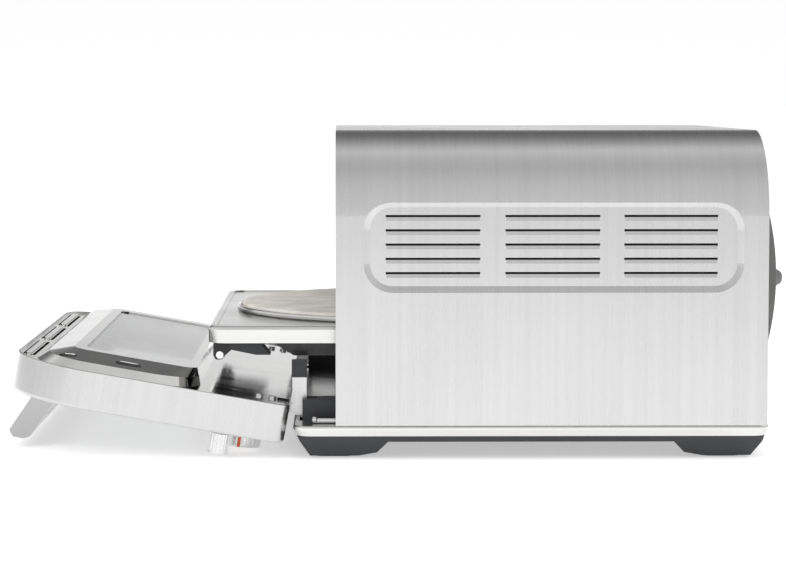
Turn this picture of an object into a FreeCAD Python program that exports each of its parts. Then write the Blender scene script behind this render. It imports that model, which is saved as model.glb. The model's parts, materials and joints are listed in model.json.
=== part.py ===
"""Countertop pizza oven with a drop-down door and a deck that slides out with it.

Millimetres.  +Z is up, the door faces -Y and +X is the right-hand side for a person
who stands behind the oven.  The sections are drawn with Y = 0 in the middle of the four
feet.  The finished parts are moved so that the origin lies on the standing plane, under
the middle of the open oven's whole length.  The door is shown fully open.
"""
import FreeCAD, Part
import math
import os

V = FreeCAD.Vector
X_AXIS = V(1, 0, 0)
Y_AXIS = V(0, 1, 0)
Z_AXIS = V(0, 0, 1)

# ---------------------------------------------------------------- driving dimensions
WIDTH = 466.0
HEIGHT = 272.0
BODY_FRONT = -160.5
BODY_REAR = 196.5
BASE_HALF_LENGTH = 195.9
BASE_REAR_LIP = 3.5
BASE_TOP = 28.4
SHEET = 1.2
SHELL_CORNER = 70.0

DOOR_LENGTH = 235.3
DOOR_THICK = 32.5
DOOR_HALF_WIDTH = 231.0
DOOR_BOTTOM = 36.5
DOOR_INNER_Y = BODY_FRONT - 0.8
DOOR_OPEN_DEG = 80.0
HINGE_Y = -184.7
HINGE_Z = 18.4

DECK_FRONT = -268.5
DECK_LENGTH = 330.0
DECK_HALF_WIDTH = 186.0
DECK_TOP = 106.4
DECK_BOTTOM = 92.3
DECK_SHEET = 2.2
DECK_UNDERSIDE = DECK_TOP - DECK_SHEET

LENGTH_MIDDLE_Y = -108.9

HALF = WIDTH / 2
DECK_REAR = DECK_FRONT + DECK_LENGTH
PARTS = {}


# ---------------------------------------------------------------- geometry helpers
def box(x, y, z):
    """Box from three (low, high) pairs."""
    return Part.makeBox(x[1] - x[0], y[1] - y[0], z[1] - z[0], V(x[0], y[0], z[0]))


def cyl(centre, axis, radius, length):
    """Cylinder that starts at centre and runs along axis."""
    return Part.makeCylinder(radius, length, V(*centre), axis)


def tube(centre, axis, outer, inner, length):
    return cyl(centre, axis, outer, length).cut(cyl(centre, axis, inner, length))


def mirrored(shape):
    return shape.mirror(V(0, 0, 0), X_AXIS)


def pair(shape):
    """The shape and its mirror image across the centre plane."""
    return Part.makeCompound([shape, mirrored(shape)])


def fuse(shapes):
    whole = shapes[0].multiFuse(shapes[1:]) if len(shapes) > 1 else shapes[0]
    return whole.removeSplitter()


def prism_yz(points, x):
    """Polygon given in (y, z), extruded from x[0] to x[1]."""
    corners = [V(x[0], y, z) for y, z in points]
    face = Part.Face(Part.makePolygon(corners + corners[:1]))
    return face.extrude(V(x[1] - x[0], 0, 0))


def prism_xz(points, y):
    corners = [V(px, y[0], pz) for px, pz in points]
    face = Part.Face(Part.makePolygon(corners + corners[:1]))
    return face.extrude(V(0, y[1] - y[0], 0))


def rounded_outline(half, low, high, r_low, r_high, place):
    """Closed wire of a rectangle with separate corner radii; place(a, b) maps it to 3-D."""
    corners = [(half, low, r_low, 180), (half, high, r_high, 270)]
    corners += [(-half, high, r_high, 0), (-half, low, r_low, 90)]
    points = []
    for a, b, r, _ in corners:
        ca = a - math.copysign(r, a)
        cb = b + r if b == low else b - r
        side_first = (a > 0) == (b == high)
        on_side = (a, cb)
        on_end = (ca, b)
        mid = (ca + math.copysign(r, a) * math.sqrt(0.5), cb + (b - cb) * math.sqrt(0.5))
        points.append((on_side, mid, on_end) if side_first else (on_end, mid, on_side))
    edges = []
    for i, (start, mid, end) in enumerate(points):
        edges.append(Part.Arc(place(*start), place(*mid), place(*end)).toShape())
        edges.append(Part.makeLine(place(*end), place(*points[(i + 1) % len(points)][0])))
    return Part.Wire(edges)


def plate_xz(half, z, r_low, r_high, y):
    """Rounded plate standing in the XZ plane, from y[0] to y[1]."""
    wire = rounded_outline(half, z[0], z[1], r_low, r_high, lambda a, b: V(a, y[0], b))
    return Part.Face(wire).extrude(V(0, y[1] - y[0], 0))


def plate_xy(half_x, y, radius, z, centre_x=0.0):
    """Rounded plate lying flat, from z[0] to z[1]."""
    place = lambda a, b: V(a + centre_x, b, z[0])
    wire = rounded_outline(half_x, y[0], y[1], radius, radius, place)
    return Part.Face(wire).extrude(V(0, 0, z[1] - z[0]))


def frustum(sections):
    """Ruled solid through a list of closed wires."""
    return Part.makeLoft(sections, True, True)


def edges_where(shape, test):
    return [edge for edge in shape.Edges if test(edge)]


def in_plane(value, component, tolerance=0.01):
    """Test for an edge that lies in the plane component = value."""
    def test(edge):
        box_ = edge.BoundBox
        low = getattr(box_, component + "Min")
        high = getattr(box_, component + "Max")
        return abs(low - value) < tolerance and abs(high - value) < tolerance
    return test


def ring(centre, radius, bar, axis=Z_AXIS):
    return Part.makeTorus(radius, bar, V(*centre), axis)


def add(name, shape):
    PARTS[name] = shape


# ---------------------------------------------------------------- base and feet
UNDERSIDE = 14.4
FOOT_FRONT = [(-195.9, 28.0), (-192.6, 18.8), (-190.1, 14.7), (-186.0, 8.1), (-181.9, 1.5)]
FOOT_BACK = [(-141.5, 1.5), (-126.3, 4.4), (-117.0, UNDERSIDE)]
PAD_RISE = 1.5
WALL = 2.0
TRIM_LOW = 19.7
TRIM_INSET = 2.6
PLAN_CORNER = 12.0
ARM_X = 184.0
POD_INNER_X = 150.0


def base_block(shrink, floor):
    """Base body between its sloping ends, with a foot pod under each corner."""
    profile = [(y + shrink, z + floor) for y, z in FOOT_FRONT]
    profile += [(y - shrink, z + floor) for y, z in FOOT_BACK]
    profile[0] = (profile[0][0], BASE_TOP - SHEET)
    outline = profile + [(BASE_REAR_LIP - y, z) for y, z in reversed(profile)]
    side = prism_yz(outline, (-HALF, HALF))
    edge = HALF - TRIM_INSET - shrink
    taper = [(edge, BASE_TOP), (edge, TRIM_LOW), (HALF - 17 - shrink, 0)]
    front = prism_xz(taper + [(-x, z) for x, z in reversed(taper)], (-210, 210))
    limit = BASE_HALF_LENGTH - TRIM_INSET - shrink
    plan = plate_xy(edge, (-limit, limit + BASE_REAR_LIP), PLAN_CORNER - shrink, (0, BASE_TOP))
    block = side.common(front).common(plan)
    tunnel = POD_INNER_X + shrink
    return block.cut(box((-tunnel, tunnel), (-210, 210), (-1, UNDERSIDE + floor)))


def base_housing():
    body = base_block(0, 0).cut(base_block(WALL, WALL))
    hinge_room = []
    for side in (-1, 1):
        start = (side * ARM_X - 12.5, HINGE_Y, HINGE_Z)
        hinge_room.append(cyl(start, X_AXIS, 5.4, 25))
    vents = []
    for row in range(5):
        for side in (-1, 1):
            x0 = side * 75
            y0 = -60 + 30 * row
            vents.append(box((x0 - 40, x0 + 40), (y0 - 2.5, y0 + 2.5), (10, 20)))
    return body.cut(Part.makeCompound(hinge_room + vents)).cut(base_trim())


def foot_pads():
    pads = []
    for x in (-183, 183):
        for y in (-162, 162):
            pads.append(plate_xy(27, (y - 17, y + 17), 8, (0, PAD_RISE), x))
    return Part.makeCompound(pads)


def base_trim():
    def section(inset, z):
        end = BASE_HALF_LENGTH - inset
        place = lambda a, b: V(a, b, z)
        return rounded_outline(HALF + 0.5 - inset, -end, end + BASE_REAR_LIP, PLAN_CORNER, PLAN_CORNER,
                               place)
    outer = frustum([section(TRIM_INSET, TRIM_LOW), section(0, BASE_TOP - 3), section(0, BASE_TOP)])
    outer = outer.makeFillet(2.0, edges_where(outer, in_plane(BASE_TOP, "Z")))
    inner = frustum([section(TRIM_INSET + SHEET, TRIM_LOW - 1), section(SHEET, BASE_TOP - 3),
                     section(SHEET, BASE_TOP - SHEET)])
    pan = outer.cut(inner)
    slot_x = (ARM_X - 10, ARM_X + 14)
    slot = box(slot_x, (-191, -117.5), (TRIM_LOW, BASE_TOP + 1))
    return pan.cut(pair(slot))


# ---------------------------------------------------------------- outer shell
EMBOSS_Y = (-137.4, 176.1)
EMBOSS_Z = (138.8, 214.7)
EMBOSS_BAND = 5.3
EMBOSS_DEPTH = 3.0
EMBOSS_CORNER = 24.0
VENT_COLUMNS = ((-119.3, -41.2), (-20.6, 57.6), (77.4, 154.7))
VENT_FIRST_Z = 154.9
VENT_PITCH = 11.77
VENT_ROWS = 5
VENT_HEIGHT = 1.9


def arch(inset, low, y):
    """Shell cross-section: straight sides and a large quarter circle at each top corner."""
    wire = rounded_outline(HALF - inset, low, HEIGHT - inset, 0.5, SHELL_CORNER - inset,
                           lambda a, b: V(a, y[0], b))
    return Part.Face(wire).extrude(V(0, y[1] - y[0], 0))


def side_panel(x_outer, depth, grow):
    """Solid frustum under the pressed side panel: wide at the shell face, narrower inside."""
    def section(x, inset):
        y_mid = sum(EMBOSS_Y) / 2
        half = (EMBOSS_Y[1] - EMBOSS_Y[0]) / 2 - inset
        radius = EMBOSS_CORNER - inset
        place = lambda a, b: V(x, a + y_mid, b)
        return rounded_outline(half, EMBOSS_Z[0] + inset, EMBOSS_Z[1] - inset, radius, radius, place)
    return frustum([section(x_outer, -grow), section(x_outer - depth, EMBOSS_BAND - grow)])


def outer_shell():
    length = (BODY_FRONT, BODY_REAR)
    skin = arch(0, BASE_TOP, length)
    skin = skin.cut(arch(SHEET, BASE_TOP - 5, (BODY_FRONT - 1, BODY_REAR + 1)))
    backing = side_panel(HALF, EMBOSS_DEPTH + SHEET, SHEET).common(arch(0, BASE_TOP, length))
    pocket = side_panel(HALF + 0.01, EMBOSS_DEPTH + 0.01, 0)
    skin = skin.fuse([backing, mirrored(backing)])
    skin = skin.cut(Part.makeCompound([pocket, mirrored(pocket)]))
    face = HALF - EMBOSS_DEPTH
    cuts = []
    for y0, y1 in VENT_COLUMNS:
        for row in range(VENT_ROWS):
            z = VENT_FIRST_Z + row * VENT_PITCH
            low = z - VENT_HEIGHT / 2
            high = z + VENT_HEIGHT / 2
            cuts.append(box((face - 3, face + 2), (y0, y1), (low, high)))
            ramp = [(face + 0.01, low - 3.0), (face + 0.01, low + 0.2), (face - 0.85, low + 0.2)]
            wedge = prism_xz(ramp, (y0 + 0.6, y1 - 0.6))
            cuts.append(wedge)
    cuts = Part.makeCompound(cuts)
    return skin.cut(Part.makeCompound([cuts, mirrored(cuts)]))


# ---------------------------------------------------------------- cavity and its fittings
CAVITY_X = 192.0
CAVITY_Y = (-148.0, 184.0)
CAVITY_Z = (72.0, 236.0)
FRAME_Y = (-149.6, -148.4)
HEATER_Z = 222.0
HEATER_BAR = 3.2
OUTER_TAIL_X = 17.0
INNER_TAIL_X = 7.0
PROBE = (90.0, 212.0)
STONE_PARK_Y = 18.0


def front_frame():
    plate = arch(SHEET, BASE_TOP, FRAME_Y)
    hole = plate_xz(CAVITY_X - 0.5, (CAVITY_Z[0] + 0.5, CAVITY_Z[1] - 0.5), 6, 18,
                    (FRAME_Y[0] - 1, FRAME_Y[1] + 1))
    notch = box((ARM_X - 12, ARM_X + 16), (FRAME_Y[0] - 1, FRAME_Y[1] + 1), (BASE_TOP, CAVITY_Z[0] - 1.5))
    return plate.cut(Part.makeCompound([hole, pair(notch)]))


def cavity_box():
    outer = box((-CAVITY_X - SHEET, CAVITY_X + SHEET), (CAVITY_Y[0] - 0.2, CAVITY_Y[1] + SHEET),
                (CAVITY_Z[0] - SHEET, CAVITY_Z[1] + SHEET))
    inner = box((-CAVITY_X, CAVITY_X), (CAVITY_Y[0] - 1, CAVITY_Y[1]), CAVITY_Z)
    holes = [cyl((PROBE[0], CAVITY_Y[1] - 1, PROBE[1]), Y_AXIS, 2.6, 5)]
    for x in (-OUTER_TAIL_X, -INNER_TAIL_X, INNER_TAIL_X, OUTER_TAIL_X):
        holes.append(cyl((x, CAVITY_Y[1] - 1, HEATER_Z), Y_AXIS, HEATER_BAR + 0.1, 5))
    return outer.cut(inner).cut(Part.makeCompound(holes))


def insulation_blanket():
    gap = SHEET
    outer = box((-206, 206), (-140, 170), (CAVITY_Z[0] + 10, 252))
    inner = box((-CAVITY_X - gap, CAVITY_X + gap), (-141, 171), (0, CAVITY_Z[1] + gap))
    return outer.cut(inner)


def heater(radius, bar, centre_y, z, tail_y, gap):
    """Open ring element whose two tails, gap off the centre line, run back through the rear wall."""
    sweep = math.degrees(math.asin(gap / radius))
    whole = ring((0, centre_y, z), radius, bar)
    opening = box((-gap, gap), (centre_y, centre_y + radius + 20), (z - 10, z + 10))
    parts = [whole.cut(opening)]
    start_y = centre_y + radius * math.cos(math.radians(sweep))
    for side in (-1, 1):
        parts.append(cyl((side * gap, start_y - 2, z), Y_AXIS, bar, tail_y - start_y + 2))
    return fuse(parts)


def heat_reflector():
    disc = cyl((0, STONE_PARK_Y, HEATER_Z + 6), Z_AXIS, 150, CAVITY_Z[1] - HEATER_Z - 6)
    hollow = Part.makeCone(146, 140, 5, V(0, STONE_PARK_Y, HEATER_Z + 5.9), Z_AXIS)
    return disc.cut(hollow)


def reflector_with_clips():
    """Dished reflector with the clips that carry both ring elements."""
    clips = [heat_reflector()]
    for radius in (75, 125):
        for k in range(4):
            turn = math.radians(45 + 90 * k)
            x = radius * math.cos(turn)
            y = STONE_PARK_Y + radius * math.sin(turn)
            clip = box((x - 4, x + 4), (y - 5, y + 5), (HEATER_Z - 5, HEATER_Z + 11))
            ring_room = ring((0, STONE_PARK_Y, HEATER_Z), radius, HEATER_BAR)
            clips.append(clip.cut(ring_room))
    return fuse(clips)


def temperature_probe():
    x, z = PROBE
    rod = cyl((x, 120, z), Y_AXIS, 2.5, 70)
    flange = cyl((x, CAVITY_Y[1] + SHEET, z), Y_AXIS, 7, 3)
    tip = Part.makeSphere(2.5, V(x, 120, z))
    return fuse([rod, flange, tip])


def rail():
    """Fixed slide on the cavity wall; the deck edge rides on its ledge."""
    wall = box((187.0, CAVITY_X), (-146, 178), (86, 110))
    ledge = box((178.4, CAVITY_X), (-146, 178), (86, 91.9))
    return fuse([wall, ledge])


# ---------------------------------------------------------------- hinges
HINGE_PIN_R = 3.0
HOUSING_TOP = 46.0
LEVER_RISE_DEG = 10.0
LEVER_OFFSET = 6.5
LEVER_REACH = 60.0


def hinge_housing():
    """Moulded block around the arm: two cheeks joined behind the arm's travel."""
    outline = [(-188.5, HOUSING_TOP), (-188.5, 18.2), (-184.9, 12.4), (-123.2, 12.4),
               (-123.2, 29.0), (-118.0, 29.0), (-118.0, HOUSING_TOP)]
    block = prism_yz(outline, (ARM_X - 10, ARM_X + 14))
    slot = box((ARM_X - 3.5, ARM_X + 3.5), (-200, -122.3), (0, 60))
    relief = cyl((ARM_X - 11, HINGE_Y, HINGE_Z), X_AXIS, HINGE_PIN_R, 26)
    boss = box((ARM_X + 4.5, ARM_X + 13), (-176, -150), (HOUSING_TOP, HOUSING_TOP + 1.4))
    return fuse([block, boss]).cut(slot).cut(relief)


def hinge_pins():
    return pair(cyl((ARM_X - 9, HINGE_Y, HINGE_Z), X_AXIS, HINGE_PIN_R, 21))


def lever_place(shape):
    """From lying along +Y at the pivot to the lever's own slope, door shut."""
    return shape.rotated(V(0, HINGE_Y, HINGE_Z), X_AXIS, LEVER_RISE_DEG)


def hinge_arm():
    """Bell crank: one leg enters the door, the other stands up beside the deck."""
    x = (ARM_X - 1.5, ARM_X + 1.5)
    middle = HINGE_Z + LEVER_OFFSET
    lever = box(x, (HINGE_Y + 13, HINGE_Y + LEVER_REACH), (middle - 6, middle + 6))
    for z in (middle - 1.1, middle + 3.6):
        lever = lever.cut(box((ARM_X + 0.7, ARM_X + 2), (HINGE_Y + 12, HINGE_Y + 70), (z, z + 1.1)))
    crank = fuse([lever_place(lever), cyl((x[0], HINGE_Y, HINGE_Z), X_AXIS, 5, 3)])
    leg = box(x, (HINGE_Y + 12, at_v(LINER_V + SHEET)), (HINGE_Z, HINGE_Z + 52))
    foot = box(x, (HINGE_Y, HINGE_Y + 16), (HINGE_Z - 5, HINGE_Z + 5))
    body = fuse([crank, leg, foot])
    return body.cut(cyl((x[0] - 1, HINGE_Y, HINGE_Z), X_AXIS, HINGE_PIN_R + 0.05, 5))


def lever_cap():
    """Dark pad and its screw at the end of the lever."""
    y = HINGE_Y + LEVER_REACH - 8
    z = HINGE_Z + LEVER_OFFSET
    pad = box((ARM_X + 1.5, ARM_X + 3.2), (y - 7, y + 8), (z - 6.5, z + 6.5))
    screw = cyl((ARM_X + 1.5, y - 1, z), X_AXIS, 2.2, 1.9)
    return lever_place(fuse([pad, screw]))


def spring_rod():
    rod = cyl((216, -178, BASE_TOP + 2.4), Y_AXIS, 2.2, FRAME_Y[0] + 178)
    ball = Part.makeSphere(3.0, V(216, -178, BASE_TOP + 3.1))
    return fuse([rod, ball])


# ---------------------------------------------------------------- back of the body
REAR_PANEL_Y = (190.0, 191.2)
COVER_X = 190.0
COVER_Z = (68.4, 227.4)
COVER_PEAK = 210.8
COVER_EDGE = 196.8
COVER_SPARE = 3.0
FAN_Z = 150.0
FAN_R = 31.0


def rear_panel():
    plate = arch(SHEET, BASE_TOP, REAR_PANEL_Y)
    cuts = [cyl((0, 189, FAN_Z), Y_AXIS, FAN_R, 4), cyl((-150, 189, 50), Y_AXIS, 8.1, 4)]
    for k in range(7):
        x = 60 + 14 * k
        cuts.append(box((x, x + 4), (189, 193), (38, 60)))
    return plate.cut(Part.makeCompound(cuts))


def cover_body(inset):
    """Bulged cover: a long arc in side view, rounded at its two ends."""
    low = COVER_Z[0] + inset
    high = COVER_Z[1] - inset
    half_height = (high - low) / 2
    rise = COVER_PEAK - COVER_EDGE
    radius = (half_height ** 2 + rise ** 2) / (2 * rise)
    reach = half_height + COVER_SPARE
    peak = COVER_PEAK - inset
    edge = peak - radius + math.sqrt(radius ** 2 - reach ** 2)
    foot = REAR_PANEL_Y[1] - (1 if inset else 0)
    bottom = low - COVER_SPARE
    top = high + COVER_SPARE
    arc = Part.Arc(V(0, edge, bottom), V(0, peak, (low + high) / 2), V(0, edge, top))
    lines = [Part.makeLine(V(0, edge, top), V(0, foot, top)),
             Part.makeLine(V(0, foot, top), V(0, foot, bottom)),
             Part.makeLine(V(0, foot, bottom), V(0, edge, bottom))]
    face = Part.Face(Part.Wire([arc.toShape()] + lines))
    half = COVER_X - inset
    half_length = half + COVER_SPARE
    body = face.extrude(V(2 * half_length, 0, 0))
    body.translate(V(-half_length, 0, 0))
    outline = plate_xz(half, (low, high), 30 - inset, 30 - inset, (180, 220))
    return body.common(outline)


def rear_cover():
    shell = cover_body(0).cut(cover_body(2.0))
    slots = []
    for k in range(9):
        z = FAN_Z - 28 + 7 * k
        slots.append(box((-30, 30), (200, 215), (z - 1.4, z + 1.4)))
    return shell.cut(Part.makeCompound(slots))


def wall_spacers():
    """Tapered stand-offs that keep the hot rear away from a wall."""
    body = Part.makeCone(15.5, 4.5, 19, V(150, 204, 145), Y_AXIS)
    body = body.makeFillet(3.5, edges_where(body, in_plane(223, "Y")))
    return pair(body.cut(cover_body(0)))


def fan_frame():
    frame = box((-35, 35), (REAR_PANEL_Y[1], 202.6), (FAN_Z - 35, FAN_Z + 35))
    frame = frame.cut(cyl((0, 190, FAN_Z), Y_AXIS, FAN_R, 20))
    spokes = [box((-32, 32), (200.6, 202.6), (FAN_Z - 2, FAN_Z + 2)),
              box((-2, 2), (200.6, 202.6), (FAN_Z - 32, FAN_Z + 32)),
              cyl((0, 200.6, FAN_Z), Y_AXIS, 9, 2)]
    return fuse([frame] + spokes).cut(cyl((0, 199, FAN_Z), Y_AXIS, 1.55, 3.0))


def fan_rotor():
    hub = cyl((0, 192.5, FAN_Z), Y_AXIS, 9, 7.5)
    spindle = cyl((0, 199, FAN_Z), Y_AXIS, 1.5, 2.7)
    blades = []
    for k in range(7):
        blade = box((7, 29), (193.5, 199.0), (-0.7, 0.7))
        blade.rotate(V(0, 196, 0), X_AXIS, 32)
        blade.rotate(V(0, 0, 0), Y_AXIS, 360 / 7 * k)
        blade.translate(V(0, 0, FAN_Z))
        blades.append(blade)
    return fuse([hub, spindle] + blades)


def cord_gland():
    flange = cyl((-150, REAR_PANEL_Y[1], 50), Y_AXIS, 11, 2.5)
    nose = Part.makeCone(9, 6.5, 12, V(-150, REAR_PANEL_Y[1] + 2.5, 50), Y_AXIS)
    stem = cyl((-150, 186, 50), Y_AXIS, 8, 6)
    return fuse([flange, nose, stem]).cut(cyl((-150, 185, 50), Y_AXIS, 3.6, 30))


def power_board():
    board = box((-215, -213.4), (-60, 120), (60, 180))
    parts = [board]
    for y in (-52, 112):
        for z in (66, 130):
            parts.append(cyl((SHEET - HALF, y, z), X_AXIS, 3, HALF - SHEET - 215))
    for y, z, dy, dz, depth in ((-40, 80, 30, 26, 11), (20, 75, 18, 18, 7), (60, 90, 22, 30, 9),
                                (-30, 140, 26, 20, 6), (85, 140, 16, 16, 6)):
        parts.append(box((-215 - depth, -214.9), (y, y + dy), (z, z + dz)))
    return fuse(parts)


def rear_screws():
    heads = []
    for x, z in ((-215, 40), (0, 40), (215, 40), (-215, 180), (215, 180), (-120, 258), (120, 258)):
        heads.append(cyl((x, REAR_PANEL_Y[1], z), Y_AXIS, 3.6, 2.0))
    return Part.makeCompound(heads)


# ---------------------------------------------------------------- door, modelled shut
DOOR_CORNER = 68.0
DOOR_FOOT_CORNER = 12.0
SKIN = 1.5
OUTER_Y = DOOR_INNER_Y - DOOR_THICK
WINDOW_HALF = 167.0
WINDOW_U = (90.0, 180.0)
PLATEAU = -11.5
PLATEAU_SLOPE = 6.0
LINER_V = 2.0
DIAL_U = 37.0
SMALL_DIAL_U = 53.0
DIALS = {"right": (172.0, DIAL_U, 18.0, 14.5), "centre": (0.0, DIAL_U, 18.0, 14.5),
         "left": (-172.0, DIAL_U, 18.0, 14.5), "small": (214.0, SMALL_DIAL_U, 8.6, 19.0)}
POINTER_TURN = {"right": 90, "centre": 0, "left": 0}
BUTTONS = {"start": 86.0, "power": -86.0}
BUTTON_R = 7.0
FLANK_X = 203.0
FLANK_OVALS = ((139.0, 11.0), (190.0, 7.5))


def at_v(v):
    """Y of a plane at depth v from the inner rim towards the outside, door shut."""
    return DOOR_INNER_Y - v


def at_u(u):
    """Z of a line at height u above the door's lower end, door shut."""
    return DOOR_BOTTOM + u


def door_plate(inset, v):
    """Slab with the door's outline, moved in by inset, between two depths."""
    return plate_xz(DOOR_HALF_WIDTH - inset, (at_u(inset), at_u(DOOR_LENGTH - inset)),
                    DOOR_FOOT_CORNER - inset, DOOR_CORNER - inset, (at_v(v[1]), at_v(v[0])))


def hinge_notch():
    x = (ARM_X - 12, ARM_X + 16)
    return pair(box(x, (at_v(28.7), at_v(-2)), (at_u(-1), at_u(11.5))))


def door_skin():
    body = door_plate(0, (0, DOOR_THICK))
    body = body.makeFillet(3.2, edges_where(body, in_plane(OUTER_Y, "Y")))
    body = body.makeFillet(0.6, edges_where(body, in_plane(DOOR_INNER_Y, "Y")))
    body = body.cut(door_plate(SKIN, (-1, DOOR_THICK - SKIN)))
    window = plate_xz(WINDOW_HALF, (at_u(WINDOW_U[0]), at_u(WINDOW_U[1])), 14, 14,
                      (OUTER_Y - 1, OUTER_Y + 3))
    cuts = [window, hinge_notch()]
    for x, u, _, _ in DIALS.values():
        cuts.append(cyl((x, OUTER_Y - 1, at_u(u)), Y_AXIS, 4.6, 4))
    for x in BUTTONS.values():
        cuts.append(cyl((x, OUTER_Y - 1, at_u(DIAL_U)), Y_AXIS, BUTTON_R + 0.35, 4))
    return body.cut(Part.makeCompound(cuts))


def plateau_solid(grow, v_top, v_low):
    """Raised middle of the liner: a short riser, then a gentle slope up to the window."""
    def section(v, half, low, high, radius):
        return rounded_outline(half - grow, at_u(low + grow), at_u(high - grow), radius, radius,
                               lambda a, b: V(a, at_v(v), b))
    foot = section(v_low, 221, 77, 219, 44)
    shoulder = section(v_top + PLATEAU_SLOPE, 217, 80, 209, 40)
    crown = section(v_top, 184, 83, 189, 14)
    return frustum([foot, shoulder]).fuse(frustum([shoulder, crown])).removeSplitter()


def door_liner():
    flange = door_plate(SKIN, (LINER_V, LINER_V + SHEET))
    body = flange.fuse(plateau_solid(0, PLATEAU, LINER_V + SHEET))
    body = body.cut(plateau_solid(SHEET, PLATEAU + SHEET, LINER_V + SHEET + 0.5))
    window = plate_xz(WINDOW_HALF, (at_u(WINDOW_U[0]), at_u(WINDOW_U[1])), 9, 9,
                      (at_v(0), at_v(PLATEAU - 1)))
    cuts = [window, hinge_notch(), flank_ovals()]
    for x in (-122, 0, 122):
        cuts.append(box((x - 52, x + 52), (at_v(5), at_v(0)), (at_u(220.5), at_u(223.0))))
        cuts.append(box((x - 52, x + 52), (at_v(5), at_v(0)), (at_u(229.0), at_u(231.0))))
    body = body.cut(Part.makeCompound(cuts))
    tabs = []
    for x in (-122, 0, 122):
        tabs.append(plate_xz(50, (at_u(223.6), at_u(228.6)), 1.5, 1.5, (at_v(LINER_V), at_v(0.6))))
        tabs[-1].translate(V(x, 0, 0))
    return fuse([body] + tabs)


def glass(v, half, u, radius):
    return plate_xz(half, (at_u(u[0]), at_u(u[1])), radius, radius, (at_v(v[1]), at_v(v[0])))


def window_gasket():
    outer = glass((PLATEAU + SHEET + 4, PLATEAU + SHEET + 8), 176, (85.5, 185.5), 13)
    inner = glass((PLATEAU + SHEET + 3, PLATEAU + SHEET + 9), 168, (91, 179), 8)
    return outer.cut(inner)


def window_frame():
    """Spacer between the two panes, fixed to the inside of the outer skin."""
    outer = glass((22, 27), 182, (80, 190), 18)
    inner = glass((21, 28), 168, (91, 179), 10)
    return outer.cut(inner)


HANDLE_U = 196.0
HANDLE_HALF = 158.0
HANDLE_LEAN = 20.0


def handle_section(v_low, v_high, width, u_low, lean):
    """Slanted blade in the side view, rounded at its outer end."""
    run = v_high - v_low
    slope = lean / run
    corners = [(at_v(v_low), at_u(u_low)), (at_v(v_high - 3), at_u(u_low + slope * (run - 3))),
               (at_v(v_high), at_u(u_low + lean + 4)), (at_v(v_high), at_u(u_low + lean + width - 7)),
               (at_v(v_high - 5), at_u(u_low + slope * (run - 5) + width)),
               (at_v(v_low), at_u(u_low + width))]
    return corners


def handle_arms():
    """End arms of the handle, standing on the outer face."""
    profile = handle_section(DOOR_THICK, DOOR_THICK + 44, 20, HANDLE_U, HANDLE_LEAN)
    arm = prism_yz(profile, (HANDLE_HALF - 12, HANDLE_HALF))
    arm = arm.makeFillet(2.4, edges_where(arm, lambda e: e.BoundBox.XLength > 10))
    return pair(arm)


def handle_bar():
    """Bar between the arms; its back is hollowed for the grip."""
    slope = HANDLE_LEAN / 44
    profile = handle_section(DOOR_THICK + 24, DOOR_THICK + 43.4, 19.2, HANDLE_U + 24 * slope + 0.3,
                             19.4 * slope)
    bar = prism_yz(profile, (-HANDLE_HALF + 12, HANDLE_HALF - 12))
    return bar.makeFillet(2.2, edges_where(bar, lambda e: e.BoundBox.XLength > 100))


def handle_grip():
    """Dark insert on the door side of the bar, where the fingers pull."""
    low = HANDLE_U + 13.6
    x = (-HANDLE_HALF + 22, HANDLE_HALF - 22)
    y = (at_v(DOOR_THICK + 24), at_v(DOOR_THICK + 21.5))
    return box(x, y, (at_u(low), at_u(low + 12.5)))


def control_board():
    board = box((-226, 226), (at_v(20.0), at_v(18.4)), (at_u(30.0), at_u(64.0)))
    room = box((ARM_X - 9, ARM_X + 9), (at_v(40), at_v(0)), (at_u(0), at_u(36.5)))
    chips = [box((x, x + 22), (at_v(18.4), at_v(15.5)), (at_u(44), at_u(56))) for x in (-130, 30, 120)]
    for x in BUTTONS.values():
        chips.append(box((x - 5, x + 5), (at_v(22.6), at_v(20.0)), (at_u(DIAL_U) - 5, at_u(DIAL_U) + 5)))
    return fuse([board.cut(pair(room))] + chips)


def dial_encoders():
    parts = []
    for x, u, radius, _ in DIALS.values():
        half = min(radius - 1, 10.5)
        can = box((x - half, x + half), (at_v(DOOR_THICK - SKIN - 0.3), at_v(20.0)),
                  (at_u(u) - half, at_u(u) + half))
        neck = cyl((x, at_v(DOOR_THICK + 0.9), at_u(u)), Y_AXIS, 4.4, 4)
        parts.append(can.fuse(neck).cut(cyl((x, OUTER_Y - 5, at_u(u)), Y_AXIS, 3.05, 14.0)))
    return Part.makeCompound(parts)


def dial_bezels():
    parts = []
    for x, u, radius, _ in DIALS.values():
        outer = radius + 2.6 if radius > 10 else radius + 1.6
        parts.append(tube((x, OUTER_Y - 0.9, at_u(u)), Y_AXIS, outer, 5.0, 0.9))
    return Part.makeCompound(parts)


def dial(name):
    """Knob with flutes round its skirt and a stem that turns in the encoder."""
    x, u, radius, height = DIALS[name]
    z = at_u(u)
    front = OUTER_Y - height
    body = cyl((x, front, z), Y_AXIS, radius, height - 1.5)
    body = body.makeFillet(1.3, edges_where(body, in_plane(front, "Y")))
    count = 24 if radius > 10 else 14
    cuts = []
    for k in range(count):
        turn = 2 * math.pi * (k + 0.5) / count
        reach = radius + 0.5
        cuts.append(cyl((x + reach * math.cos(turn), front + 2.4, z + reach * math.sin(turn)),
                        Y_AXIS, 1.0, height))
    body = body.cut(Part.makeCompound(cuts))
    stem = cyl((x, front + 4, z), Y_AXIS, 3.0, height - 4 + 9.0)
    body = body.fuse(stem).removeSplitter()
    return body.cut(pointer_block(name)) if name in POINTER_TURN else body


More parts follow.
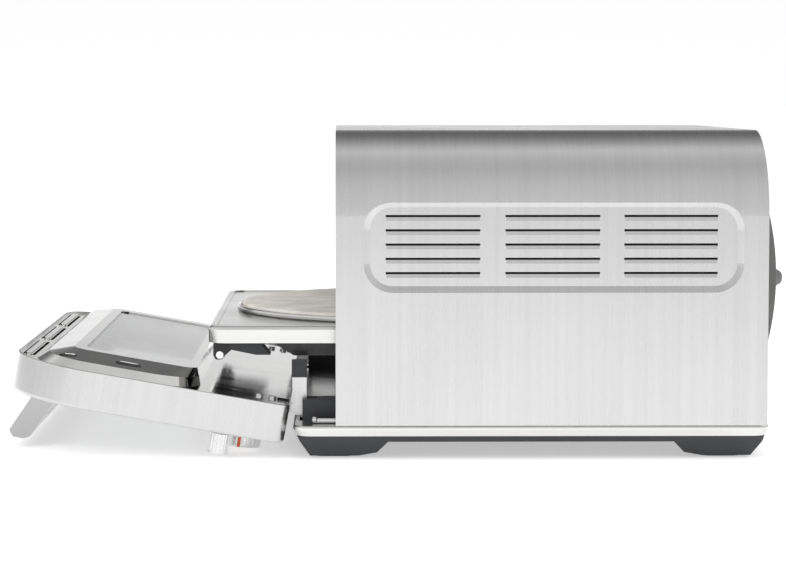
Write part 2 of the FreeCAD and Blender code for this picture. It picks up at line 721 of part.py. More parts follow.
def pointer_block(name):
    """Inlay that runs from near the middle of the knob over its edge."""
    x, u, radius, height = DIALS[name]
    front = OUTER_Y - height
    half = 1.3
    face = box((x - half, x + half), (front - 0.01, front + 1.4), (at_u(u) + radius * 0.35, at_u(u) + radius))
    side = box((x - half, x + half), (front - 0.01, OUTER_Y - 3.2),
               (at_u(u) + radius - 1.6, at_u(u) + radius + 0.25))
    block = fuse([face, side])
    return block.rotated(V(x, front, at_u(u)), Y_AXIS, POINTER_TURN[name])


def button(name):
    x = BUTTONS[name]
    cap = cyl((x, OUTER_Y - 2.4, at_u(DIAL_U)), Y_AXIS, BUTTON_R, 9.0)
    return cap.makeFillet(0.8, edges_where(cap, in_plane(OUTER_Y - 2.4, "Y")))


def hinge_screws():
    """Two pan-head screws through the liner into each arm's leg."""
    heads = []
    for u in (15.5, 27.0):
        head = cyl((ARM_X, at_v(LINER_V), at_u(u)), Y_AXIS, 3.4, 2.2)
        heads.append(head.makeFillet(1.0, edges_where(head, in_plane(at_v(LINER_V) + 2.2, "Y"))))
    return pair(Part.makeCompound(heads))


def flank_ovals():
    """Upright ovals that pass through the sloping flanks of the liner."""
    ovals = []
    for u, half in FLANK_OVALS:
        oval = plate_xz(5.0, (at_u(u - half), at_u(u + half)), 4.9, 4.9, (at_v(4), at_v(-12)))
        ovals.append(oval.translated(V(FLANK_X, 0, 0)))
    return pair(Part.makeCompound(ovals))


def liner_plugs():
    """Bungs set slightly below the ovals in the liner's flanks."""
    return flank_ovals().common(plateau_solid(0, PLATEAU + 1.0, LINER_V + SHEET))


def shut_to_open(shape):
    return shape.rotated(V(0, HINGE_Y, HINGE_Z), X_AXIS, DOOR_OPEN_DEG)


# ---------------------------------------------------------------- sliding deck
STONE_Y = -100.0
STONE_R = 147.0
STONE_TOP = 112.5
POCKET_R = STONE_R + 1.5
POCKET_FLOOR = 101.0
ROLLER_X = 160.0
ROLLER_Y = -259.5
ROLLER_Z = 80.2
ROLLER_R = 4.5
HOUSING_Z = (77.9, DECK_BOTTOM)
DECK_RING_R = 105.0
DECK_RING_Z = 90.0
DECK_TAIL_X = 12.0


def deck_tray():
    outer = plate_xy(DECK_HALF_WIDTH, (DECK_FRONT, DECK_REAR), 16, (DECK_BOTTOM, DECK_TOP))
    outer = outer.makeFillet(3.0, edges_where(outer, in_plane(DECK_TOP, "Z")))
    hollow = plate_xy(DECK_HALF_WIDTH - 2.0, (DECK_FRONT + 2.0, DECK_REAR - 2.0), 14,
                      (DECK_BOTTOM - 1, DECK_UNDERSIDE))
    dish = plate_xy(DECK_HALF_WIDTH - 7.0, (DECK_FRONT + 7.0, DECK_REAR - 7.0), 10,
                    (DECK_TOP - 1.0, DECK_TOP + 1))
    tray = outer.cut(hollow).cut(dish)
    tray = tray.cut(cyl((0, STONE_Y, DECK_BOTTOM), Z_AXIS, POCKET_R, 30))
    collar = tube((0, STONE_Y, POCKET_FLOOR - 3.2), Z_AXIS, POCKET_R + 1.6, POCKET_R, 6.6)
    seats = []
    for k in range(6):
        seat = box((POCKET_R - 9, POCKET_R + 1), (-8, 8), (POCKET_FLOOR - 3.2, POCKET_FLOOR - 1.2))
        seat.rotate(V(0, 0, 0), Z_AXIS, 30 + 60 * k)
        seat.translate(V(0, STONE_Y, 0))
        seats.append(seat)
    return fuse([tray, collar] + seats)


def baking_stone():
    disc = cyl((0, STONE_Y, POCKET_FLOOR - 1.2), Z_AXIS, STONE_R, STONE_TOP - POCKET_FLOOR + 1.2)
    disc = disc.makeFillet(3.0, edges_where(disc, in_plane(STONE_TOP, "Z")))
    return disc


def deck_heater():
    return heater(DECK_RING_R, HEATER_BAR, STONE_Y, DECK_RING_Z, 54, DECK_TAIL_X)


def deck_heater_housing():
    """Dark tray under the stone, hung from the deck by a post at each corner."""
    low, high = HOUSING_Z
    outline = [(-220, high), (-196.7, low), (44, low), (48, high)]
    inner = [(-217, high + 1), (-195.4, low + 1.5), (42.5, low + 1.5), (46, high + 1)]
    tray = prism_yz(outline, (-150, 150)).cut(prism_yz(inner, (-148.5, 148.5)))
    for x in (-DECK_TAIL_X, DECK_TAIL_X):
        tray = tray.cut(cyl((x, 38, DECK_RING_Z), Y_AXIS, HEATER_BAR + 0.1, 14))
    envelope = prism_yz([(-220, DECK_UNDERSIDE)] + outline + [(48, DECK_UNDERSIDE)], (-150, 150))
    posts = []
    for y in ((-218, -208), (34, 44)):
        for x in ((-149, -140), (140, 149)):
            posts.append(box(x, y, (low, DECK_UNDERSIDE)).common(envelope))
    for k in range(4):
        turn = math.radians(45 + 90 * k)
        place = (DECK_RING_R * math.cos(turn), STONE_Y + DECK_RING_R * math.sin(turn), low)
        saddle = cyl(place, Z_AXIS, 4, DECK_RING_Z - 2 - low)
        posts.append(saddle.cut(ring((0, STONE_Y, DECK_RING_Z), DECK_RING_R, HEATER_BAR)))
    return fuse([tray] + posts)


def deck_runner():
    """Glide under each side of the deck, just inside the fixed rail."""
    return box((171.0, 177.8), (-136, 52), (86.4, DECK_UNDERSIDE))


def deck_bracket():
    """Roller fork under the deck front, with the dark tie that runs back from it."""
    top = DECK_UNDERSIDE
    side = prism_yz([(-264.5, top), (-265.2, 80), (-263, 76.2), (-259, 76.2), (-250, 84),
                     (-250, top)], (ROLLER_X + 3.6, ROLLER_X + 5.6))
    flange = box((ROLLER_X - 9, ROLLER_X + 5.6), (-263.5, -250), (top - 2, top))
    tie = prism_yz([(-250, top), (-250, 86), (-228, 81.5), (-216, 81.5), (-225, DECK_BOTTOM),
                    (-225, top)], (ROLLER_X - 6, ROLLER_X + 18))
    plate = fuse([side, side.translated(V(-10.8, 0, 0)), flange, tie])
    return plate.cut(cyl((ROLLER_X - 10, ROLLER_Y, ROLLER_Z), X_AXIS, 1.5, 20))


def roller(side):
    x = side * ROLLER_X
    wheel = cyl((x - 2.8, ROLLER_Y, ROLLER_Z), X_AXIS, ROLLER_R, 5.6)
    rims = edges_where(wheel, lambda e: e.BoundBox.XLength < 0.01)
    wheel = wheel.makeFillet(0.7, rims)
    return wheel.cut(cyl((x - 4, ROLLER_Y, ROLLER_Z), X_AXIS, 1.55, 8))


def roller_pins():
    pin = cyl((ROLLER_X - 7.2, ROLLER_Y, ROLLER_Z), X_AXIS, 1.5, 14.2)
    head = cyl((ROLLER_X + 5.6, ROLLER_Y, ROLLER_Z), X_AXIS, 3.2, 1.8)
    return pair(fuse([pin, head]))


# ---------------------------------------------------------------- assembly
def build():
    add("base_housing", base_housing())
    add("foot_pads", foot_pads())
    add("base_trim", base_trim())
    add("outer_shell", outer_shell())
    add("front_frame", front_frame())
    add("cavity_box", cavity_box())
    add("insulation_blanket", insulation_blanket())
    add("top_heater_outer", heater(125, HEATER_BAR, STONE_PARK_Y, HEATER_Z, 188, OUTER_TAIL_X))
    add("top_heater_inner", heater(75, HEATER_BAR, STONE_PARK_Y, HEATER_Z, 188, INNER_TAIL_X))
    add("heat_reflector", reflector_with_clips())
    add("temperature_probe", temperature_probe())
    add("rail_right", rail())
    add("rail_left", mirrored(rail()))
    add("hinge_housing_right", hinge_housing())
    add("hinge_housing_left", mirrored(hinge_housing()))
    add("hinge_pins", hinge_pins())
    add("spring_rods", pair(spring_rod()))
    add("rear_panel", rear_panel())
    add("rear_cover", rear_cover())
    add("wall_spacers", wall_spacers())
    add("fan_frame", fan_frame())
    add("fan_rotor", fan_rotor())
    add("cord_gland", cord_gland())
    add("power_board", power_board())
    add("rear_screws", rear_screws())

    add("door_skin", shut_to_open(door_skin()))
    add("door_liner", shut_to_open(door_liner()))
    inner_v = PLATEAU + SHEET
    add("window_glass_inner", shut_to_open(glass((inner_v, inner_v + 4), 176, (85.5, 185.5), 13)))
    add("window_glass_outer", shut_to_open(glass((27, 31), 182, (80, 190), 18)))
    add("window_gasket", shut_to_open(window_gasket()))
    add("window_frame", shut_to_open(window_frame()))
    add("handle_arms", shut_to_open(handle_arms()))
    add("handle_bar", shut_to_open(handle_bar()))
    add("handle_grip", shut_to_open(handle_grip()))
    add("control_board", shut_to_open(control_board()))
    add("dial_encoders", shut_to_open(dial_encoders()))
    add("dial_bezels", shut_to_open(dial_bezels()))
    add("hinge_arm_right", shut_to_open(hinge_arm()))
    add("hinge_arm_left", shut_to_open(mirrored(hinge_arm())))
    add("lever_caps", shut_to_open(pair(lever_cap())))
    add("hinge_screws", shut_to_open(hinge_screws()))
    add("liner_plugs", shut_to_open(liner_plugs()))
    for name in DIALS:
        add("dial_" + name, shut_to_open(dial(name)))
    for name in POINTER_TURN:
        add("pointer_" + name, shut_to_open(pointer_block(name)))
    for name in BUTTONS:
        add("button_" + name, shut_to_open(button(name)))

    add("deck_tray", deck_tray())
    add("baking_stone", baking_stone())
    add("deck_heater_housing", deck_heater_housing())
    add("deck_heater", deck_heater())
    add("deck_runners", pair(deck_runner()))
    add("deck_brackets", pair(deck_bracket()))
    add("roller_pins", roller_pins())
    add("roller_right", roller(1))
    add("roller_left", roller(-1))


build()
os.makedirs("parts", exist_ok=True)
for node, shape in PARTS.items():
    shape.translated(V(0, -LENGTH_MIDDLE_Y, 0)).exportStep("parts/" + node + ".step")
print(len(PARTS), "nodes")
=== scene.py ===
import json
import math

import bpy
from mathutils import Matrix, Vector


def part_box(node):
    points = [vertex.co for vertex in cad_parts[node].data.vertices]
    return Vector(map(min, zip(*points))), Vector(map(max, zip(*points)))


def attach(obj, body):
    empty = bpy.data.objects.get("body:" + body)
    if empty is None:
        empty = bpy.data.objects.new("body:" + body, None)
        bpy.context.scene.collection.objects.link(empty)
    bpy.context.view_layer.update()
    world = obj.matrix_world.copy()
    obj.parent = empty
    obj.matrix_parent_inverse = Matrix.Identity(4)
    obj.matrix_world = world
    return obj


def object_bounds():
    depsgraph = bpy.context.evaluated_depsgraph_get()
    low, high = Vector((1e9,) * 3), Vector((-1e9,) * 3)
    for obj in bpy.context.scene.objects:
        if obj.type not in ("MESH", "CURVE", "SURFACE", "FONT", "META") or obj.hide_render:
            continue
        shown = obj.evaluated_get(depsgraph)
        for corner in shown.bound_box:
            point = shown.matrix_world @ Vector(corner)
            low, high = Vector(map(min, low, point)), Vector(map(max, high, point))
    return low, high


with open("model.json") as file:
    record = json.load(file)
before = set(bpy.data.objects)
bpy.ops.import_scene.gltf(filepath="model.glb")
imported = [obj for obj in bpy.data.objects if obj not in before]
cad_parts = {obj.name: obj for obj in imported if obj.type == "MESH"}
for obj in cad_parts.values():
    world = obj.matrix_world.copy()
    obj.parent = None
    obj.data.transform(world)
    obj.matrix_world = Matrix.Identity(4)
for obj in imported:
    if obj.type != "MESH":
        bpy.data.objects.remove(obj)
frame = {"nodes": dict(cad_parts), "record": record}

CAD_LOW, CAD_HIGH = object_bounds()
SLOT_OF = {entry["node"]: entry["material_slot"] for entry in frame["record"]["subparts"]}
DOOR_OPEN = math.radians(80)


# ------------------------------------------------------------------ node helpers
class Tree:
    """A material's node tree with short ways to add and join nodes."""

    def __init__(self, name):
        self.material = bpy.data.materials.new(name)
        self.material.use_nodes = True
        self.nodes = self.material.node_tree.nodes
        self.links = self.material.node_tree.links
        self.bsdf = self.nodes["Principled BSDF"]
        self.coords = self.nodes.new("ShaderNodeTexCoord")

    def link(self, source, target):
        self.links.new(source, target)

    def mapping(self, scale, turn=(0, 0, 0)):
        """Object coordinates turned, then scaled per metre."""
        rotated = self.nodes.new("ShaderNodeMapping")
        rotated.inputs["Rotation"].default_value = turn
        self.link(self.coords.outputs["Object"], rotated.inputs["Vector"])
        scaled = self.nodes.new("ShaderNodeMapping")
        scaled.inputs["Scale"].default_value = scale
        self.link(rotated.outputs["Vector"], scaled.inputs["Vector"])
        return scaled.outputs["Vector"]

    def noise(self, vector, detail=3.0, rough=0.5, distortion=0.0):
        node = self.nodes.new("ShaderNodeTexNoise")
        node.inputs["Scale"].default_value = 1.0
        node.inputs["Detail"].default_value = detail
        node.inputs["Roughness"].default_value = rough
        node.inputs["Distortion"].default_value = distortion
        self.link(vector, node.inputs["Vector"])
        return node.outputs["Fac"]

    def voronoi(self, vector, feature="F1"):
        node = self.nodes.new("ShaderNodeTexVoronoi")
        node.feature = feature
        node.inputs["Scale"].default_value = 1.0
        self.link(vector, node.inputs["Vector"])
        return node.outputs["Distance"]

    def ramp(self, value, stops):
        node = self.nodes.new("ShaderNodeValToRGB")
        ramp = node.color_ramp
        while len(ramp.elements) < len(stops):
            ramp.elements.new(0.5)
        for element, (position, colour) in zip(ramp.elements, stops):
            element.position = position
            element.color = (*colour, 1)
        self.link(value, node.inputs["Fac"])
        return node.outputs["Color"]

    def spread(self, value, low, high, start=0.3, end=0.7):
        """A 0-1 texture value stretched from start-end to low-high."""
        node = self.nodes.new("ShaderNodeMapRange")
        node.inputs["From Min"].default_value = start
        node.inputs["From Max"].default_value = end
        node.inputs["To Min"].default_value = low
        node.inputs["To Max"].default_value = high
        self.link(value, node.inputs["Value"])
        return node.outputs["Result"]

    def math(self, operation, a, b):
        node = self.nodes.new("ShaderNodeMath")
        node.operation = operation
        for socket, value in zip(node.inputs, (a, b)):
            if isinstance(value, (int, float)):
                socket.default_value = value
            else:
                self.link(value, socket)
        return node.outputs["Value"]

    def mix(self, factor, a, b, blend="MIX"):
        node = self.nodes.new("ShaderNodeMix")
        node.data_type = "RGBA"
        node.blend_type = blend
        fac = [s for s in node.inputs if s.name == "Factor" and s.type == "VALUE"][0]
        col = [s for s in node.inputs if s.type == "RGBA"]
        for socket, value in ((fac, factor), (col[0], a), (col[1], b)):
            if isinstance(value, (int, float)):
                socket.default_value = value
            elif isinstance(value, tuple):
                socket.default_value = (*value, 1)
            else:
                self.link(value, socket)
        return [s for s in node.outputs if s.type == "RGBA"][0]

    def bump(self, height, strength, distance, below=None):
        node = self.nodes.new("ShaderNodeBump")
        node.inputs["Strength"].default_value = strength
        node.inputs["Distance"].default_value = distance
        self.link(height, node.inputs["Height"])
        if below is not None:
            self.link(below, node.inputs["Normal"])
        return node.outputs["Normal"]

    def edge_wear(self, radius):
        """1 on sharp edges, 0 on flats."""
        bevel = self.nodes.new("ShaderNodeBevel")
        bevel.samples = 4
        bevel.inputs["Radius"].default_value = radius
        geometry = self.nodes.new("ShaderNodeNewGeometry")
        dot = self.nodes.new("ShaderNodeVectorMath")
        dot.operation = "DOT_PRODUCT"
        self.link(bevel.outputs["Normal"], dot.inputs[0])
        self.link(geometry.outputs["Normal"], dot.inputs[1])
        return self.spread(dot.outputs["Value"], 1.0, 0.0, 0.86, 0.995)

    def set(self, **values):
        for name, value in values.items():
            self.bsdf.inputs[name.replace("_", " ")].default_value = value


# ------------------------------------------------------------------ materials
def steel(name, colour, rough, grain, turn=(0, 0, 0), depth=0.05, streak=0.10, aniso=0.0):
    """Brushed sheet: grain is the texture scale per metre on each axis, small along the brushing."""
    t = Tree(name)
    fine = t.noise(t.mapping(grain, turn), detail=4.0, rough=0.65)
    broad = t.noise(t.mapping(tuple(g * 0.12 for g in grain), turn), detail=3.0)
    cloud = t.noise(t.mapping((9, 9, 9)), detail=2.0)
    low = tuple(c * (1 - streak) for c in colour)
    high = tuple(min(1.0, c * (1 + streak * 0.7)) for c in colour)
    base = t.ramp(fine, [(0.30, low), (0.70, high)])
    tint = t.ramp(broad, [(0.30, (0.93, 0.93, 0.93)), (0.70, (1, 1, 1))])
    t.link(t.mix(1.0, base, tint, "MULTIPLY"), t.bsdf.inputs["Base Color"])
    varied = t.math("ADD", t.spread(fine, -0.05, 0.06), t.spread(cloud, -0.03, 0.05))
    t.link(t.math("ADD", varied, rough), t.bsdf.inputs["Roughness"])
    t.set(Metallic=1.0)
    t.link(t.bump(fine, depth, 0.0004), t.bsdf.inputs["Normal"])
    if aniso:
        tangent = t.nodes.new("ShaderNodeTangent")
        tangent.direction_type = "RADIAL"
        tangent.axis = "Y"
        t.link(tangent.outputs["Tangent"], t.bsdf.inputs["Tangent"])
        t.bsdf.inputs["Anisotropic"].default_value = aniso
        t.bsdf.inputs["Anisotropic Rotation"].default_value = 0.25
    return t.material


def polished(name, colour, rough=0.06):
    """Mirror-bright sheet with faint smears and hairline scratches."""
    t = Tree(name)
    smear = t.noise(t.mapping((22, 14, 22)), detail=5.0, distortion=1.2)
    hair = t.noise(t.mapping((1500, 60, 90), (0.3, 0.2, 0.5)), detail=2.0)
    low = tuple(c * 0.93 for c in colour)
    t.link(t.ramp(smear, [(0.35, low), (0.65, colour)]), t.bsdf.inputs["Base Color"])
    varied = t.math("ADD", t.spread(smear, -0.02, 0.07), t.spread(hair, 0.0, 0.05, 0.55, 0.8))
    t.link(t.math("ADD", varied, rough), t.bsdf.inputs["Roughness"])
    t.set(Metallic=1.0)
    t.link(t.bump(hair, 0.02, 0.0002), t.bsdf.inputs["Normal"])
    return t.material


def plastic(name, colour, rough, texture, depth, gloss=0.0):
    """Moulded plastic with a spark-eroded grain and rubbed edges."""
    t = Tree(name)
    grain = t.noise(t.mapping((texture, texture, texture)), detail=2.0)
    cloud = t.noise(t.mapping((14, 14, 14)), detail=3.0)
    low = tuple(c * 0.82 for c in colour)
    high = tuple(c * 1.2 for c in colour)
    body = t.ramp(cloud, [(0.3, low), (0.7, high)])
    rubbed = tuple(min(1.0, c * 1.9 + 0.01) for c in colour)
    t.link(t.mix(t.math("MULTIPLY", t.edge_wear(0.0012), 0.45), body, rubbed), t.bsdf.inputs["Base Color"])
    t.link(t.math("ADD", t.spread(grain, -0.06, 0.08), rough), t.bsdf.inputs["Roughness"])
    t.link(t.bump(grain, depth, 0.0003), t.bsdf.inputs["Normal"])
    if gloss:
        t.bsdf.inputs["Coat Weight"].default_value = gloss
        t.bsdf.inputs["Coat Roughness"].default_value = 0.08
    return t.material


def rubber(name, colour):
    t = Tree(name)
    pores = t.noise(t.mapping((2600, 2600, 2600)), detail=2.0)
    dust = t.noise(t.mapping((60, 60, 60)), detail=5.0)
    dusty = tuple(c * 1.7 + 0.012 for c in colour)
    t.link(t.ramp(dust, [(0.42, colour), (0.75, dusty)]), t.bsdf.inputs["Base Color"])
    t.link(t.spread(dust, 0.62, 0.82), t.bsdf.inputs["Roughness"])
    t.link(t.bump(pores, 0.25, 0.0003), t.bsdf.inputs["Normal"])
    return t.material


def element(name):
    """Heating sheath: oxidised, with straw and blue heat tints."""
    t = Tree(name)
    tone = t.noise(t.mapping((45, 45, 45)), detail=5.0)
    pits = t.noise(t.mapping((1800, 1800, 1800)), detail=2.0)
    t.link(t.ramp(tone, [(0.30, (0.045, 0.045, 0.05)), (0.50, (0.11, 0.09, 0.075)),
                         (0.66, (0.085, 0.09, 0.11))]), t.bsdf.inputs["Base Color"])
    t.link(t.spread(tone, 0.42, 0.62), t.bsdf.inputs["Roughness"])
    t.set(Metallic=0.65)
    t.link(t.bump(pits, 0.2, 0.0003), t.bsdf.inputs["Normal"])
    return t.material


def enamel(name):
    """Black vitreous enamel with fine pale specks and slight waviness."""
    t = Tree(name)
    speck = t.voronoi(t.mapping((620, 620, 620)))
    wave = t.noise(t.mapping((160, 160, 160)), detail=1.0)
    t.link(t.ramp(speck, [(0.05, (0.20, 0.20, 0.20)), (0.13, (0.016, 0.016, 0.017))]),
           t.bsdf.inputs["Base Color"])
    t.link(t.spread(wave, 0.16, 0.28), t.bsdf.inputs["Roughness"])
    t.link(t.bump(wave, 0.12, 0.0004), t.bsdf.inputs["Normal"])
    return t.material


def stone(name, colour):
    """Fired cordierite: mottled beige with pores and a few browned patches."""
    t = Tree(name)
    mottle = t.noise(t.mapping((38, 38, 38)), detail=7.0, rough=0.62)
    speck = t.voronoi(t.mapping((560, 560, 560)))
    scorch = t.noise(t.mapping((11, 11, 11)), detail=5.0, rough=0.6)
    low = tuple(c * 0.80 for c in colour)
    body = t.ramp(mottle, [(0.32, low), (0.68, tuple(c * 1.06 for c in colour))])
    dotted = t.mix(t.spread(speck, 0.35, 0.0, 0.06, 0.20), body, (0.36, 0.31, 0.26))
    toasted = t.mix(t.spread(scorch, 0.0, 0.42, 0.56, 0.74), dotted, (0.42, 0.33, 0.24))
    t.link(toasted, t.bsdf.inputs["Base Color"])
    t.set(Roughness=0.88)
    grit = t.noise(t.mapping((900, 900, 900)), detail=4.0)
    below = t.bump(grit, 0.35, 0.0005)
    t.link(t.bump(mottle, 0.15, 0.001, below), t.bsdf.inputs["Normal"])
    return t.material


def glass(name):
    """Tempered pane with a trace of handling marks."""
    t = Tree(name)
    smear = t.noise(t.mapping((30, 18, 30)), detail=6.0, distortion=1.5)
    t.link(t.ramp(smear, [(0.4, (0.93, 0.96, 0.95)), (0.7, (0.98, 0.99, 0.98))]),
           t.bsdf.inputs["Base Color"])
    t.link(t.spread(smear, 0.0, 0.09, 0.52, 0.85), t.bsdf.inputs["Roughness"])
    t.set(IOR=1.5)
    t.bsdf.inputs["Transmission Weight"].default_value = 1.0
    return t.material


def blanket(name, colour):
    t = Tree(name)
    fibre = t.noise(t.mapping((420, 90, 420), (0.2, 0.5, 0.1)), detail=6.0, distortion=2.0)
    tuft = t.noise(t.mapping((60, 60, 60)), detail=4.0)
    dark = tuple(c * 0.55 for c in colour)
    t.link(t.ramp(fibre, [(0.3, dark), (0.7, colour)]), t.bsdf.inputs["Base Color"])
    t.set(Roughness=0.95)
    below = t.bump(fibre, 0.6, 0.001)
    t.link(t.bump(tuft, 0.4, 0.003, below), t.bsdf.inputs["Normal"])
    return t.material


def board(name):
    """Circuit board with copper tracks under the solder mask."""
    t = Tree(name)
    tracks = t.voronoi(t.mapping((150, 150, 150)), feature="DISTANCE_TO_EDGE")
    cloud = t.noise(t.mapping((40, 40, 40)))
    mask = t.ramp(cloud, [(0.3, (0.010, 0.075, 0.028)), (0.7, (0.016, 0.11, 0.04))])
    line = t.spread(tracks, 1.0, 0.0, 0.04, 0.08)
    t.link(t.mix(line, mask, (0.05, 0.22, 0.07)), t.bsdf.inputs["Base Color"])
    t.link(t.spread(cloud, 0.28, 0.42), t.bsdf.inputs["Roughness"])
    t.link(t.bump(line, 0.2, 0.0002), t.bsdf.inputs["Normal"])
    return t.material


def inlay(name, colour):
    """Baked enamel fill with a slight orange-peel surface."""
    t = Tree(name)
    peel = t.noise(t.mapping((1400, 1400, 1400)), detail=2.0)
    cloud = t.noise(t.mapping((300, 300, 300)))
    low = tuple(c * 0.85 for c in colour)
    t.link(t.ramp(cloud, [(0.3, low), (0.7, colour)]), t.bsdf.inputs["Base Color"])
    t.link(t.spread(peel, 0.30, 0.42), t.bsdf.inputs["Roughness"])
    t.link(t.bump(peel, 0.15, 0.0002), t.bsdf.inputs["Normal"])
    return t.material


UP_SHELL = (14, 1500, 14)
ALONG_DOOR = (30, 30, 1500)
MATERIALS = {
    "shell_steel": steel("shell_steel", (0.59, 0.59, 0.59), 0.23, UP_SHELL, depth=0.006, streak=0.022,
                         aniso=0.75),
    "door_steel": steel("door_steel", (0.60, 0.60, 0.60), 0.22, ALONG_DOOR, (-DOOR_OPEN, 0, 0), depth=0.006,
                        streak=0.02),
    "trim_steel": steel("trim_steel", (0.74, 0.74, 0.73), 0.20, (16, 16, 1600), depth=0.02, streak=0.03),
    "liner_steel": polished("liner_steel", (0.70, 0.70, 0.69), 0.07),
    # handle_steel: base colour held dark (0.40, well below the other polished steel) as painted shade,
    # standing in for the dark surroundings the polished handle reflects
    "handle_steel": polished("handle_steel", (0.40, 0.40, 0.40), 0.09),
    "cavity_steel": steel("cavity_steel", (0.45, 0.44, 0.42), 0.34, (40, 900, 40), streak=0.14),
    "deck_steel": steel("deck_steel", (0.72, 0.72, 0.71), 0.15, (1300, 16, 1300), depth=0.015, streak=0.05),
    "arm_steel": steel("arm_steel", (0.70, 0.70, 0.70), 0.28, (300, 60, 300), streak=0.10),
    "bright_steel": polished("bright_steel", (0.72, 0.72, 0.72), 0.16),
    "dial_steel": steel("dial_steel", (0.76, 0.76, 0.76), 0.24, (900, 900, 900), streak=0.06),
    "pointer_orange": inlay("pointer_orange", (0.72, 0.10, 0.012)),
    "base_plastic": plastic("base_plastic", (0.022, 0.023, 0.025), 0.46, 1500, 0.30),
    "hinge_plastic": plastic("hinge_plastic", (0.024, 0.025, 0.028), 0.42, 1700, 0.25),
    "rear_plastic": plastic("rear_plastic", (0.16, 0.16, 0.158), 0.48, 1300, 0.30),
    "grip_plastic": plastic("grip_plastic", (0.012, 0.012, 0.013), 0.22, 2400, 0.06, gloss=0.6),
    "pad_rubber": rubber("pad_rubber", (0.022, 0.022, 0.022)),
    "gasket_rubber": rubber("gasket_rubber", (0.014, 0.014, 0.014)),
    "element": element("element"),
    "tray_enamel": enamel("tray_enamel"),
    "stone": stone("stone", (0.74, 0.71, 0.66)),
    "glass": glass("glass"),
    "blanket": blanket("blanket", (0.16, 0.155, 0.145)),
    "board": board("board"),
}

for name, node in frame["nodes"].items():
    for index in range(max(1, len(node.material_slots))):
        if not node.material_slots:
            node.data.materials.append(MATERIALS[SLOT_OF[name]])
        node.material_slots[index].material = MATERIALS[SLOT_OF[name]]


# ------------------------------------------------------------------ pieces made here
RIM_GAP = 0.0008
RIM_WIDTH = 0.0036
RIM_HEIGHT = 0.0040
RIM_SECTION = ((0.0, 0.0), (1.0, 0.0), (1.0, 0.62), (0.88, 0.85), (0.66, 0.98), (0.36, 0.98), (0.14, 0.85),
               (0.0, 0.62))
RIM_STEPS = 160


def stone_rim():
    """Polished lip that stands round the stone on the deck, its top edge rolled over."""
    low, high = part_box("baking_stone")
    tray_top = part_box("deck_tray")[1].z
    middle = (low + high) / 2
    inner = (high.x - low.x) / 2 + RIM_GAP
    points = []
    faces = []
    count = len(RIM_SECTION)
    for step in range(RIM_STEPS):
        turn = 2 * math.pi * step / RIM_STEPS
        for across, up in RIM_SECTION:
            radius = inner + across * RIM_WIDTH
            points.append((middle.x + radius * math.cos(turn), middle.y + radius * math.sin(turn),
                           tray_top + up * RIM_HEIGHT))
        for index in range(count):
            after = (index + 1) % count
            ahead = (step + 1) % RIM_STEPS
            faces.append((step * count + index, ahead * count + index,
                          ahead * count + after, step * count + after))
    mesh = bpy.data.meshes.new("stone_rim")
    mesh.from_pydata(points, [], faces)
    mesh.update()
    for face in mesh.polygons:
        face.use_smooth = True
    rim = bpy.data.objects.new("stone_rim", mesh)
    bpy.context.scene.collection.objects.link(rim)
    mesh.materials.append(MATERIALS["liner_steel"])
    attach(rim, "deck")


stone_rim()


# ------------------------------------------------------------------ stage, light and camera
FLOOR_SIZE = 60.0
FLOOR_DROP = 0.0002
FLOOR_GLOW = 0.46


def stage_floor():
    size = FLOOR_SIZE
    mesh = bpy.data.meshes.new("floor")
    corners = [(-size, -size, 0), (size, -size, 0), (size, size, 0), (-size, size, 0)]
    mesh.from_pydata(corners, [], [(0, 1, 2, 3)])
    floor = bpy.data.objects.new("floor", mesh)
    floor.location.z = CAD_LOW.z - FLOOR_DROP
    bpy.context.scene.collection.objects.link(floor)
    t = Tree("floor_paper")
    cloud = t.noise(t.mapping((3, 3, 3)))
    t.link(t.ramp(cloud, [(0.3, (0.83, 0.83, 0.83)), (0.7, (0.85, 0.85, 0.85))]), t.bsdf.inputs["Base Color"])
    t.set(Roughness=0.9)
    t.bsdf.inputs["Specular IOR Level"].default_value = 0.1
    t.bsdf.inputs["Emission Color"].default_value = (1, 1, 1, 1)
    t.bsdf.inputs["Emission Strength"].default_value = FLOOR_GLOW
    mesh.materials.append(t.material)


# degrees up from the +X horizon and over to the -X one, and the grey level there
WORLD_STOPS = ((0, 0.94), (26, 0.88), (45, 0.78), (62, 0.66), (78, 0.74), (92, 0.90), (112, 0.46),
               (130, 0.24), (150, 0.16), (166, 0.34), (175, 0.98), (180, 1.0))
WORLD_SIDE_SHARE = 0.8


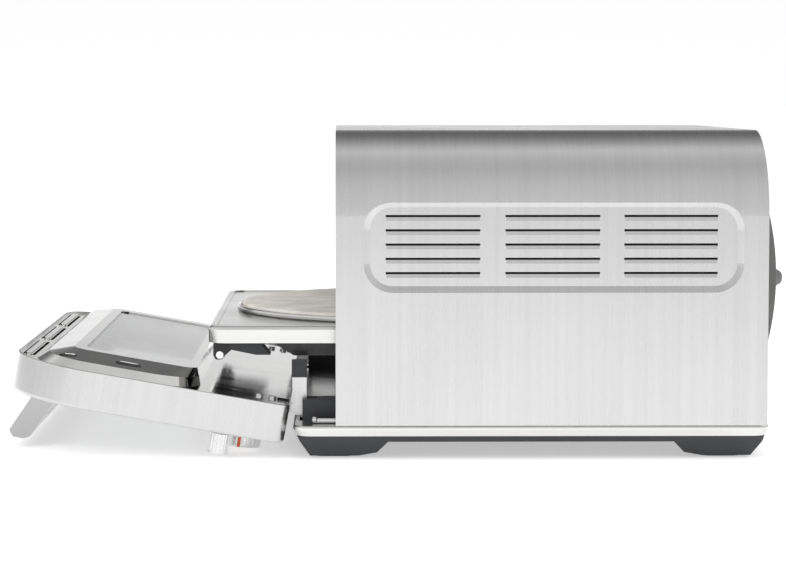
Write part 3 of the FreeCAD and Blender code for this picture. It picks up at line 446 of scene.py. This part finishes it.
def studio_world():
    """A smooth sweep: white round the horizon and overhead, nearly black between them on the -X side."""
    world = bpy.data.worlds.new("studio")
    world.use_nodes = True
    bpy.context.scene.world = world
    nodes = world.node_tree.nodes
    links = world.node_tree.links
    coords = nodes.new("ShaderNodeTexCoord")
    split = nodes.new("ShaderNodeSeparateXYZ")
    links.new(coords.outputs["Generated"], split.inputs["Vector"])

    def math_node(operation, a, b=None):
        node = nodes.new("ShaderNodeMath")
        node.operation = operation
        for socket, value in zip(node.inputs, (a, b)):
            if isinstance(value, (int, float)):
                socket.default_value = value
            elif value is not None:
                links.new(value, socket)
        return node.outputs["Value"]

    aside = math_node("MULTIPLY", math_node("ABSOLUTE", split.outputs["Y"]), WORLD_SIDE_SHARE)
    toward = math_node("ADD", split.outputs["X"], aside)
    height = math_node("MAXIMUM", split.outputs["Z"], 0.0)
    angle = math_node("DIVIDE", math_node("ARCTAN2", height, toward), math.pi)
    ramp = nodes.new("ShaderNodeValToRGB")
    elements = ramp.color_ramp.elements
    while len(elements) < len(WORLD_STOPS):
        elements.new(0.5)
    for stop, (degrees, level) in zip(elements, WORLD_STOPS):
        stop.position = degrees / 180
        stop.color = (level, level, level, 1)
    links.new(angle, ramp.inputs["Fac"])
    links.new(ramp.outputs["Color"], nodes["Background"].inputs["Color"])
    nodes["Background"].inputs["Strength"].default_value = 1.0


def softbox(name, place, target, width, height, power):
    data = bpy.data.lights.new(name, "AREA")
    data.shape = "RECTANGLE"
    data.size = width
    data.size_y = height
    data.energy = power
    lamp = bpy.data.objects.new(name, data)
    lamp.location = place
    lamp.rotation_mode = "QUATERNION"
    lamp.rotation_quaternion = (Vector(target) - Vector(place)).to_track_quat("-Z", "Y")
    lamp.visible_glossy = False
    bpy.context.scene.collection.objects.link(lamp)


# name, place, target, width, height, power
SOFTBOXES = (("key", (1.9, -1.6, 2.1), (0, -0.1, 0.1), 1.6, 1.6, 21),
             ("top", (0.2, 0.1, 2.6), (0, 0, 0.1), 2.4, 2.4, 21),
             ("rear", (-1.2, 2.4, 1.8), (0, 0.1, 0.1), 1.5, 1.5, 16))


def studio_lights():
    for entry in SOFTBOXES:
        softbox(*entry)


CAMERA_PLACE = (2.117, -0.048, 0.2995)
CAMERA_PITCH = math.radians(3.32)
CAMERA_YAW = math.radians(0.54)
CAMERA_LENS = 105.2
CAMERA_SHIFT = (0.04, -0.08)


def photo_camera():
    data = bpy.data.cameras.new("camera")
    data.sensor_width = 36
    data.lens = CAMERA_LENS
    data.shift_x, data.shift_y = CAMERA_SHIFT
    camera = bpy.data.objects.new("camera", data)
    camera.location = CAMERA_PLACE
    pitch, yaw = CAMERA_PITCH, CAMERA_YAW
    forward = Vector((-math.cos(pitch) * math.cos(yaw), math.cos(pitch) * math.sin(yaw), -math.sin(pitch)))
    camera.rotation_mode = "QUATERNION"
    camera.rotation_quaternion = forward.to_track_quat("-Z", "Y")
    data.clip_end = 200
    bpy.context.scene.collection.objects.link(camera)
    bpy.context.scene.camera = camera


stage_floor()
studio_world()
studio_lights()
photo_camera()
bpy.context.scene.view_settings.view_transform = "Standard"
